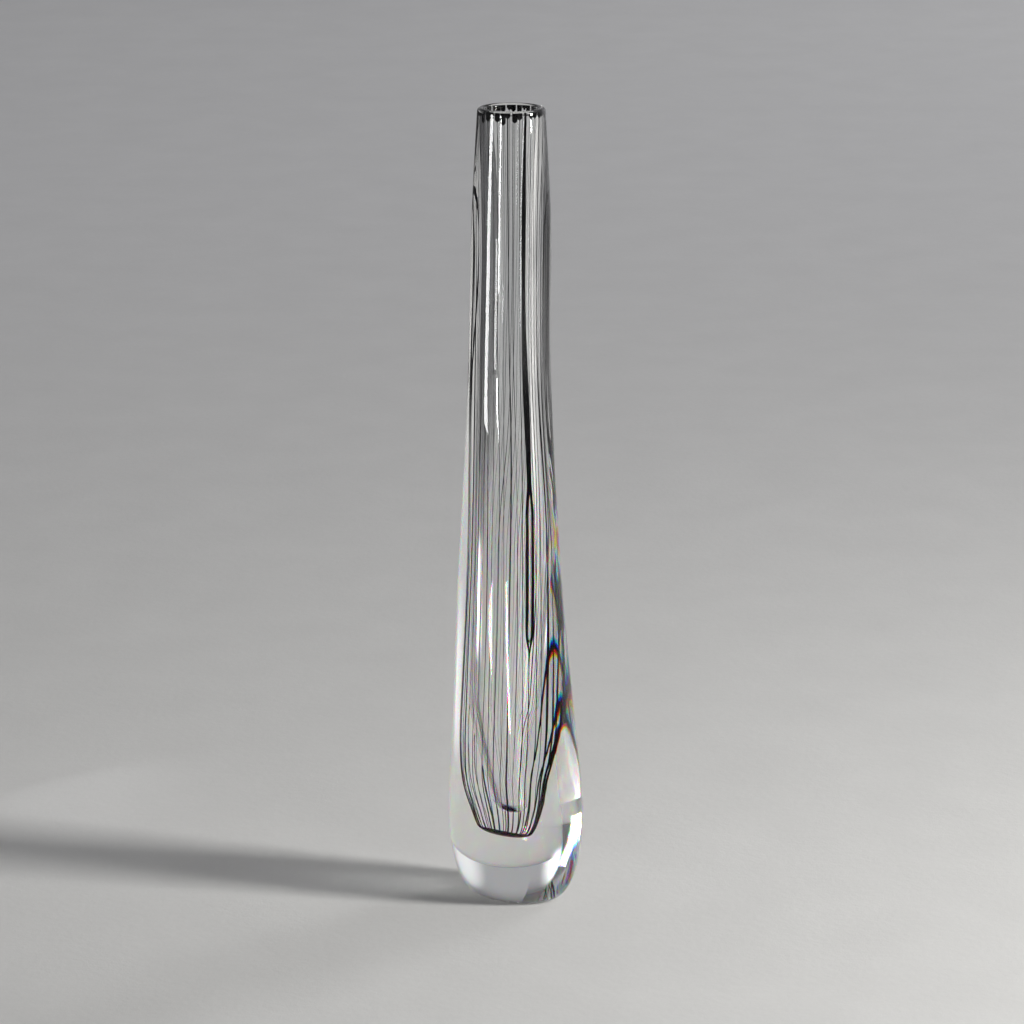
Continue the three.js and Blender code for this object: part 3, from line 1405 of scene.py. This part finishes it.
@dataclass(frozen=True)
class Card:
    """A curved card at the back left, which only the glass shows.

    Attributes:
        name: The card's name.
        turns: Its two sides' directions from +Y towards -X, in degrees.
        reach: Its distance from the vase's axis.
        rise: Heights of its lower and upper edges.
    """

    name: str
    turns: Point
    reach: float
    rise: Point

    def build(self, material: bpy.types.Material) -> None:
        """Stand the card in its place.

        Args:
            material: Its finish.
        """
        skin = Skin.empty()
        steps = 24
        for step in range(steps + 1):
            angle = math.radians(self.turns[0] + (self.turns[1] - self.turns[0]) * step / steps)
            x, y = -self.reach * math.sin(angle), self.reach * math.cos(angle)
            skin.points += [Vector((x, y, height)) for height in self.rise]
        for step in range(steps):
            low = 2 * step
            skin.faces.append((low, low + 2, low + 3, low + 1))
            skin.finishes.append(0)
        card = skin.object(self.name, [material])
        card.visible_camera = False
        card.visible_diffuse = False
        card.visible_shadow = False
        card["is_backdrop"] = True


@dataclass(frozen=True)
class Glow:
    """A soft bright patch of the room.

    Attributes:
        turn: Its direction from +Y towards +X, in degrees.
        height: How far it is above the horizon, in degrees.
        reach: How far out it fades away, in degrees.
        colour: Its colour at the middle.
    """

    turn: float
    height: float
    reach: float
    colour: Rgb

    def add(
        self, tree: ShaderTree, towards: bpy.types.NodeSocket, room: bpy.types.NodeSocket
    ) -> bpy.types.NodeSocket:
        """Lay the glow over the room.

        Args:
            tree: The world's tree.
            towards: The direction looked in.
            room: The room's colour so far.

        Returns:
            The room's colour with the glow.
        """
        turn, height = math.radians(self.turn), math.radians(self.height)
        level = math.cos(height)
        middle = (math.sin(turn) * level, math.cos(turn) * level, math.sin(height))
        facing = tree.node(
            "ShaderNodeVectorMath", {"operation": "DOT_PRODUCT"}, {0: towards, 1: middle}
        )
        edge = math.cos(math.radians(self.reach))
        return tree.mix(Value(tree, facing.outputs["Value"]).ramp(edge, 1.0), room, self.colour)


@dataclass
class Studio:
    """The plain studio: a pale floor, soft lights, a grey room and the camera.

    Attributes:
        form: The vase's form.
        distance: From the vase's axis to the camera, along the floor.
        camera_height: The camera's height.
        side: How far the camera stands to the left of the vase's middle.
        tilt: How far the camera looks down.
        lens: The camera's focal length in millimetres.
        warm: The key light's colour.
        floor_reach: The floor's radius.
        floor_drop: How far the floor lies below the foot.
    """

    form: Form
    distance: float = 2.8
    camera_height: float = 0.7685
    side: float = -0.0015
    tilt: float = math.radians(12.0265)
    lens: float = 230.18
    warm: Rgb = (1.0, 0.985, 0.96)
    floor_reach: float = 9.0
    floor_drop: float = 0.1 * MM

    def build(self) -> None:
        """Make the floor, the lights, the room and the camera."""
        self._floor()
        self._cards()
        self._lights()
        self._room()
        self._camera()
        self._light_paths()

    def _cards(self) -> None:
        """Stand the dark card of painted shade and the glowing card of painted light behind the vase, to
        its left.
        """
        # The dark card is painted shade: only the glass shows it, as the room's dark side.
        shade_felt = PaintedShadeFelt(fades=(0.04, 0.2))
        dark = Card("dark_card", turns=(15.0, 75.0), reach=0.4, rise=(0.04, 0.34))
        dark.build(shade_felt.material())
        # The glowing card is painted light: it lights nothing and only shows in the glass.
        glow_finish = GlowCard(across=(-0.27, -0.23, -0.2, -0.15), rise=(0.0, 0.02, 0.05, 0.1))
        lit = Card("left_glow_card", turns=(28.0, 66.0), reach=0.3, rise=(0.002, 0.1))
        lit.build(glow_finish.material())

    def _lights(self) -> None:
        """Hang the key light, the two strips that show as streaks, and the background's wash."""
        middle = Vector((0.0, 0.0, self.form.height / 2))
        key = Softbox("key_softbox", (1.4, -0.46, 0.66), size=(0.32, 0.86), power=33.0, colour=self.warm)
        key.build(middle)
        left = Softbox("left_strip", (-1.2, -0.49, 0.18), size=(0.24, 0.34), power=4.4, on_floor=False)
        left.build(middle)
        front = Softbox("front_strip", (-0.86, -1.25, 0.17), size=(0.11, 0.28), power=2.4, on_floor=False)
        front.build(middle)
        wash = Softbox("background_wash", (2.6, 3.2, 2.2), size=(1.2, 1.2), power=38.0, in_glass=False)
        wash.build(Vector((0.4, 2.4, 0.0)))

    def _floor(self) -> None:
        """Make the floor."""
        sides, reach = 96, self.floor_reach
        skin = Skin.empty()
        for side in range(sides):
            angle = side / sides * 2 * math.pi
            skin.points.append(Vector((reach * math.cos(angle), reach * math.sin(angle), 0.0)))
        skin.faces = [tuple(range(sides))]
        skin.finishes = [0]
        floor = skin.object("studio_floor", [StudioFloor().material()])
        floor.location.z = -self.floor_drop
        floor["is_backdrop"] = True

    def _room(self) -> None:
        """Make the grey room all round: pale behind the vase and darker behind the camera."""
        world = bpy.data.worlds.new("grey_room")
        bpy.context.scene.world = world
        tree = ShaderTree(world)
        towards = tree.node("ShaderNodeTexCoord").outputs["Generated"]
        split = tree.node("ShaderNodeSeparateXYZ", {}, {"Vector": towards})
        behind = Value(tree, split.outputs["Y"]).ramp(-0.8, 0.8)
        overhead = Value(tree, split.outputs["Z"]).ramp(0.2, 0.7)
        colour = tree.mix(behind, (0.11, 0.11, 0.115), (0.36, 0.36, 0.37))
        colour = tree.mix(overhead, colour, (0.1, 0.1, 0.105))
        for glow in (
            Glow(turn=75.0, height=25.0, reach=45.0, colour=(0.5, 0.5, 0.5)),
            Glow(turn=-50.0, height=1.0, reach=26.0, colour=(1.5, 1.5, 1.5)),
            Glow(turn=38.0, height=3.0, reach=24.0, colour=(0.9, 0.9, 0.92)),
        ):
            colour = glow.add(tree, towards, colour)
        shader = tree.node("ShaderNodeBackground", {}, {"Color": colour, "Strength": 1.0})
        tree.finish(shader, "ShaderNodeOutputWorld")

    def _camera(self) -> None:
        """Make the camera."""
        data = bpy.data.cameras.new("studio_camera")
        data.lens = self.lens
        data.clip_end = 40.0
        made = bpy.data.objects.new("studio_camera", data)
        made.location = (self.side, -self.distance, self.camera_height)
        made.rotation_euler = (math.pi / 2 - self.tilt, 0.0, 0.0)
        bpy.context.scene.collection.objects.link(made)
        bpy.context.scene.camera = made

    def _light_paths(self) -> None:
        """Let light pass through all the layers of glass, and keep greys plain."""
        scene = bpy.context.scene
        scene.cycles.max_bounces = 28
        scene.cycles.transmission_bounces = 28
        scene.cycles.glossy_bounces = 16
        scene.cycles.transparent_max_bounces = 96
        scene.view_settings.view_transform = "Standard"


def write_sizes() -> None:
    """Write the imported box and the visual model's box."""
    boxes = {"cad": CAD_BOX, "visual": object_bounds()}
    plain = {name: [list(corner) for corner in box] for name, box in boxes.items()}
    log.info("sizes: %s", plain)


def main() -> None:
    """Build the vase and its studio."""
    logging.basicConfig(level=logging.INFO, format="%(name)s %(message)s")
    form = Form.from_frame()
    ClearGathers(form).build()
    BlackThreads(form).build()
    Studio(form).build()
    write_sizes()


if __name__ == "__main__":
    main()
